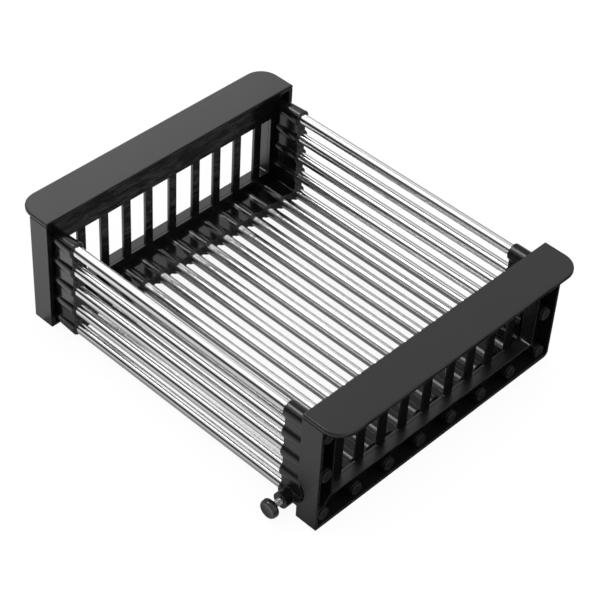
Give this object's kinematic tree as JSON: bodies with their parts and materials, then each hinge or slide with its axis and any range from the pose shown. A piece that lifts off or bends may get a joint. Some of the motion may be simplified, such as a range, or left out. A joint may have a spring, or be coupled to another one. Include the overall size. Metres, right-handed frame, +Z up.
{
  "type": "extendable sink basket",
  "caption": "Extendable sink drain basket: two flanged end plates with barred windows, joined by a U-shaped cradle of telescoping tubes with a lock screw.",
  "frame": {"origin": "centre of the bounding box in X and Y, at the feet of the end plates", "axes": "+X along the rods, the way the right half is drawn out; +Y along the plates, away from the lock screw; +Z up"},
  "size_m": [0.258, 0.2128, 0.08],
  "materials": {
    "plate_plastic": "satin black",
    "socket_plastic": "satin black",
    "tube_steel": "polished",
    "rod_steel": "polished",
    "screw_black": "black",
    "bush_brass": "plain",
    "lock_steel": "plain thread",
    "knob_plastic": "satin black"
  },
  "bodies": {
    "cradle": {"left_plate": "plate_plastic", "socket_block": "socket_plastic", "guide_block": "socket_plastic", "tube_screws": "screw_black", "lock_insert": "bush_brass", "tube_0": "tube_steel", "tube_1": "tube_steel", "tube_2": "tube_steel", "tube_3": "tube_steel", "tube_4": "tube_steel", "tube_5": "tube_steel", "tube_6": "tube_steel", "tube_7": "tube_steel", "tube_8": "tube_steel", "tube_9": "tube_steel", "tube_10": "tube_steel", "tube_11": "tube_steel", "tube_12": "tube_steel", "tube_13": "tube_steel", "tube_14": "tube_steel", "tube_15": "tube_steel", "tube_16": "tube_steel", "tube_17": "tube_steel", "tube_18": "tube_steel", "tube_19": "tube_steel", "tube_20": "tube_steel", "tube_21": "tube_steel", "tube_22": "tube_steel"},
    "slider": {"right_plate": "plate_plastic", "rod_0": "rod_steel", "rod_2": "rod_steel", "rod_4": "rod_steel", "rod_6": "rod_steel", "rod_8": "rod_steel", "rod_10": "rod_steel", "rod_12": "rod_steel", "rod_14": "rod_steel", "rod_16": "rod_steel", "rod_18": "rod_steel", "rod_20": "rod_steel", "rod_22": "rod_steel", "rod_screw_0": "screw_black", "rod_screw_2": "screw_black", "rod_screw_4": "screw_black", "rod_screw_6": "screw_black", "rod_screw_8": "screw_black", "rod_screw_10": "screw_black", "rod_screw_12": "screw_black", "rod_screw_14": "screw_black", "rod_screw_16": "screw_black", "rod_screw_18": "screw_black", "rod_screw_20": "screw_black", "rod_screw_22": "screw_black"},
    "lock_feed": {"lock_shank": "lock_steel"},
    "lock_turn": {"lock_knob": "knob_plastic"}
  },
  "joints": [
    {"name": "draw_out", "type": "slide", "parent": "cradle", "child": "slider", "axis": [1, 0, 0], "range_m": [0, 0.15]},
    {"name": "lock_screw_feed", "type": "slide", "parent": "cradle", "child": "lock_feed", "axis": [0, -1, 0], "range_m": [0, 0.0021]},
    {"name": "lock_screw_turn", "type": "hinge", "parent": "lock_feed", "child": "lock_turn", "pos_m": [0.09218, -0.09625, 0.00685], "axis": [0, -1, 0], "range_deg": [0, 1080]}
  ],
  "couplings": [
    {"joint": "lock_screw_turn", "follows": "lock_screw_feed", "rad_per_m": 8976}
  ]
}
